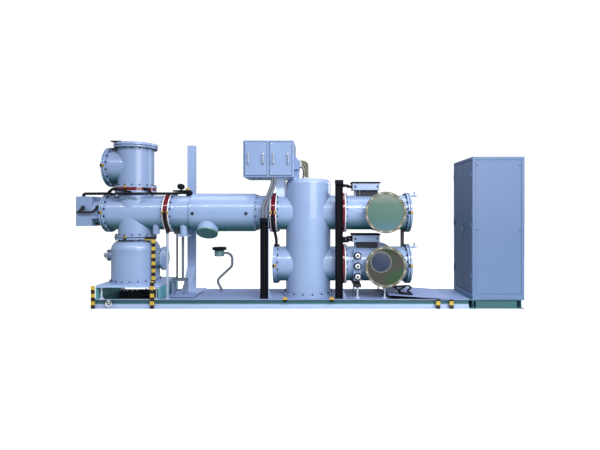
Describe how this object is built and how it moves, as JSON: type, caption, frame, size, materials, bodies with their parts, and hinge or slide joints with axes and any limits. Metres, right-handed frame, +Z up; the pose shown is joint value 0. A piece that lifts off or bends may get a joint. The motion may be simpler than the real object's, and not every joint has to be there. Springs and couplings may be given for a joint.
{
  "type": "gas-insulated switchgear bay",
  "caption": "Skid-mounted gas-insulated switchgear bay: upright breaker tank, horizontal transformer and busbar tanks, drive linkage, mechanism box and control cabinet.",
  "frame": {"origin": "underside of the skid on the breaker's axis, midway between the rails, at ground level", "axes": "+X along the skid towards the control cabinet, +Y away from the viewer, +Z up"},
  "size_m": [7.048, 0.92, 2.64],
  "materials": {
    "tank_paint": "satin",
    "frame_paint": "satin",
    "cabinet_paint": "satin",
    "cover_paint": "satin",
    "spacer_resin": "gloss",
    "dark_steel": "satin",
    "zinc_steel": "satin",
    "black_plastic": "matte",
    "black_rubber": "matte",
    "grey_conduit": "matte",
    "striped_paint": "satin",
    "clear_sheet": "gloss"
  },
  "bodies": {
    "bay": {"blind_covers": "tank_paint", "breaker_tank": "tank_paint", "busbar_cradles": "dark_steel", "busbar_drive_lids": "black_plastic", "busbar_drives": "tank_paint", "busbar_end_covers": "tank_paint", "busbar_strut": "dark_steel", "cabinet_panels": "cabinet_paint", "cabinet_plinth": "cabinet_paint", "cabinet_posts": "cabinet_paint", "cabinet_roof": "cabinet_paint", "cable_riser": "zinc_steel", "cable_troughs": "black_plastic", "conduits": "black_rubber", "cross_beams": "frame_paint", "current_transformer_tank": "tank_paint", "deck_plates": "frame_paint", "drive_box": "tank_paint", "earth_bars": "striped_paint", "earthing_terminals": "tank_paint", "gas_gauge": "black_plastic", "gas_monitor": "black_plastic", "gauge_gooseneck": "grey_conduit", "insulating_spacers": "spacer_resin", "levelling_jacks": "zinc_steel", "line_adapters": "tank_paint", "loose_deck_plate": "frame_paint", "lower_busbar_tank": "tank_paint", "lower_front_cover": "clear_sheet", "lower_vessel": "tank_paint", "mechanism_box": "cabinet_paint", "mechanism_bracket": "frame_paint", "mechanism_covers": "cabinet_paint", "rear_post": "frame_paint", "rod_support": "frame_paint", "skid_rails": "frame_paint", "switch_end_cover": "tank_paint", "switch_tank": "tank_paint", "terminal_cover": "cover_paint", "trough_posts": "frame_paint", "upper_busbar_tank": "tank_paint", "upper_front_cover": "cover_paint", "upper_tee": "tank_paint", "vessel_filling_valve": "zinc_steel", "vessel_port_cover": "tank_paint", "vessel_table": "frame_paint"},
    "drive_lever": {"drive_lever": "dark_steel"},
    "link_rod": {"link_rod": "dark_steel"},
    "switch_lever": {"switch_lever": "dark_steel"},
    "front_door_leaf": {"cabinet_door_front": "cabinet_paint"},
    "rear_door_leaf": {"cabinet_door_rear": "cabinet_paint"}
  },
  "joints": [
    {"name": "drive_lever_turn", "type": "hinge", "parent": "bay", "child": "drive_lever", "pos_m": [-3.576, -0.228, 1.56], "axis": [0, -1, 0], "range_deg": [0, 60]},
    {"name": "switch_lever_turn", "type": "hinge", "parent": "bay", "child": "switch_lever", "pos_m": [-3.35, -0.228, 1.56], "axis": [0, -1, 0], "range_deg": [0, 60]},
    {"name": "link_rod_turn", "type": "hinge", "parent": "drive_lever", "child": "link_rod", "pos_m": [-3.65626, -0.245, 1.48773], "axis": [0, -1, 0], "range_deg": [-60, 0]},
    {"name": "front_door_hinge", "type": "hinge", "parent": "bay", "child": "front_door_leaf", "pos_m": [2.524, -0.4, 1.2595], "axis": [0, 0, 1], "range_deg": [0, 110]},
    {"name": "rear_door_hinge", "type": "hinge", "parent": "bay", "child": "rear_door_leaf", "pos_m": [2.524, 0.38, 1.2595], "axis": [0, 0, -1], "range_deg": [0, 110]}
  ],
  "couplings": [
    {"joint": "switch_lever_turn", "follows": "drive_lever_turn", "ratio": 1},
    {"joint": "link_rod_turn", "follows": "drive_lever_turn", "ratio": -1}
  ]
}
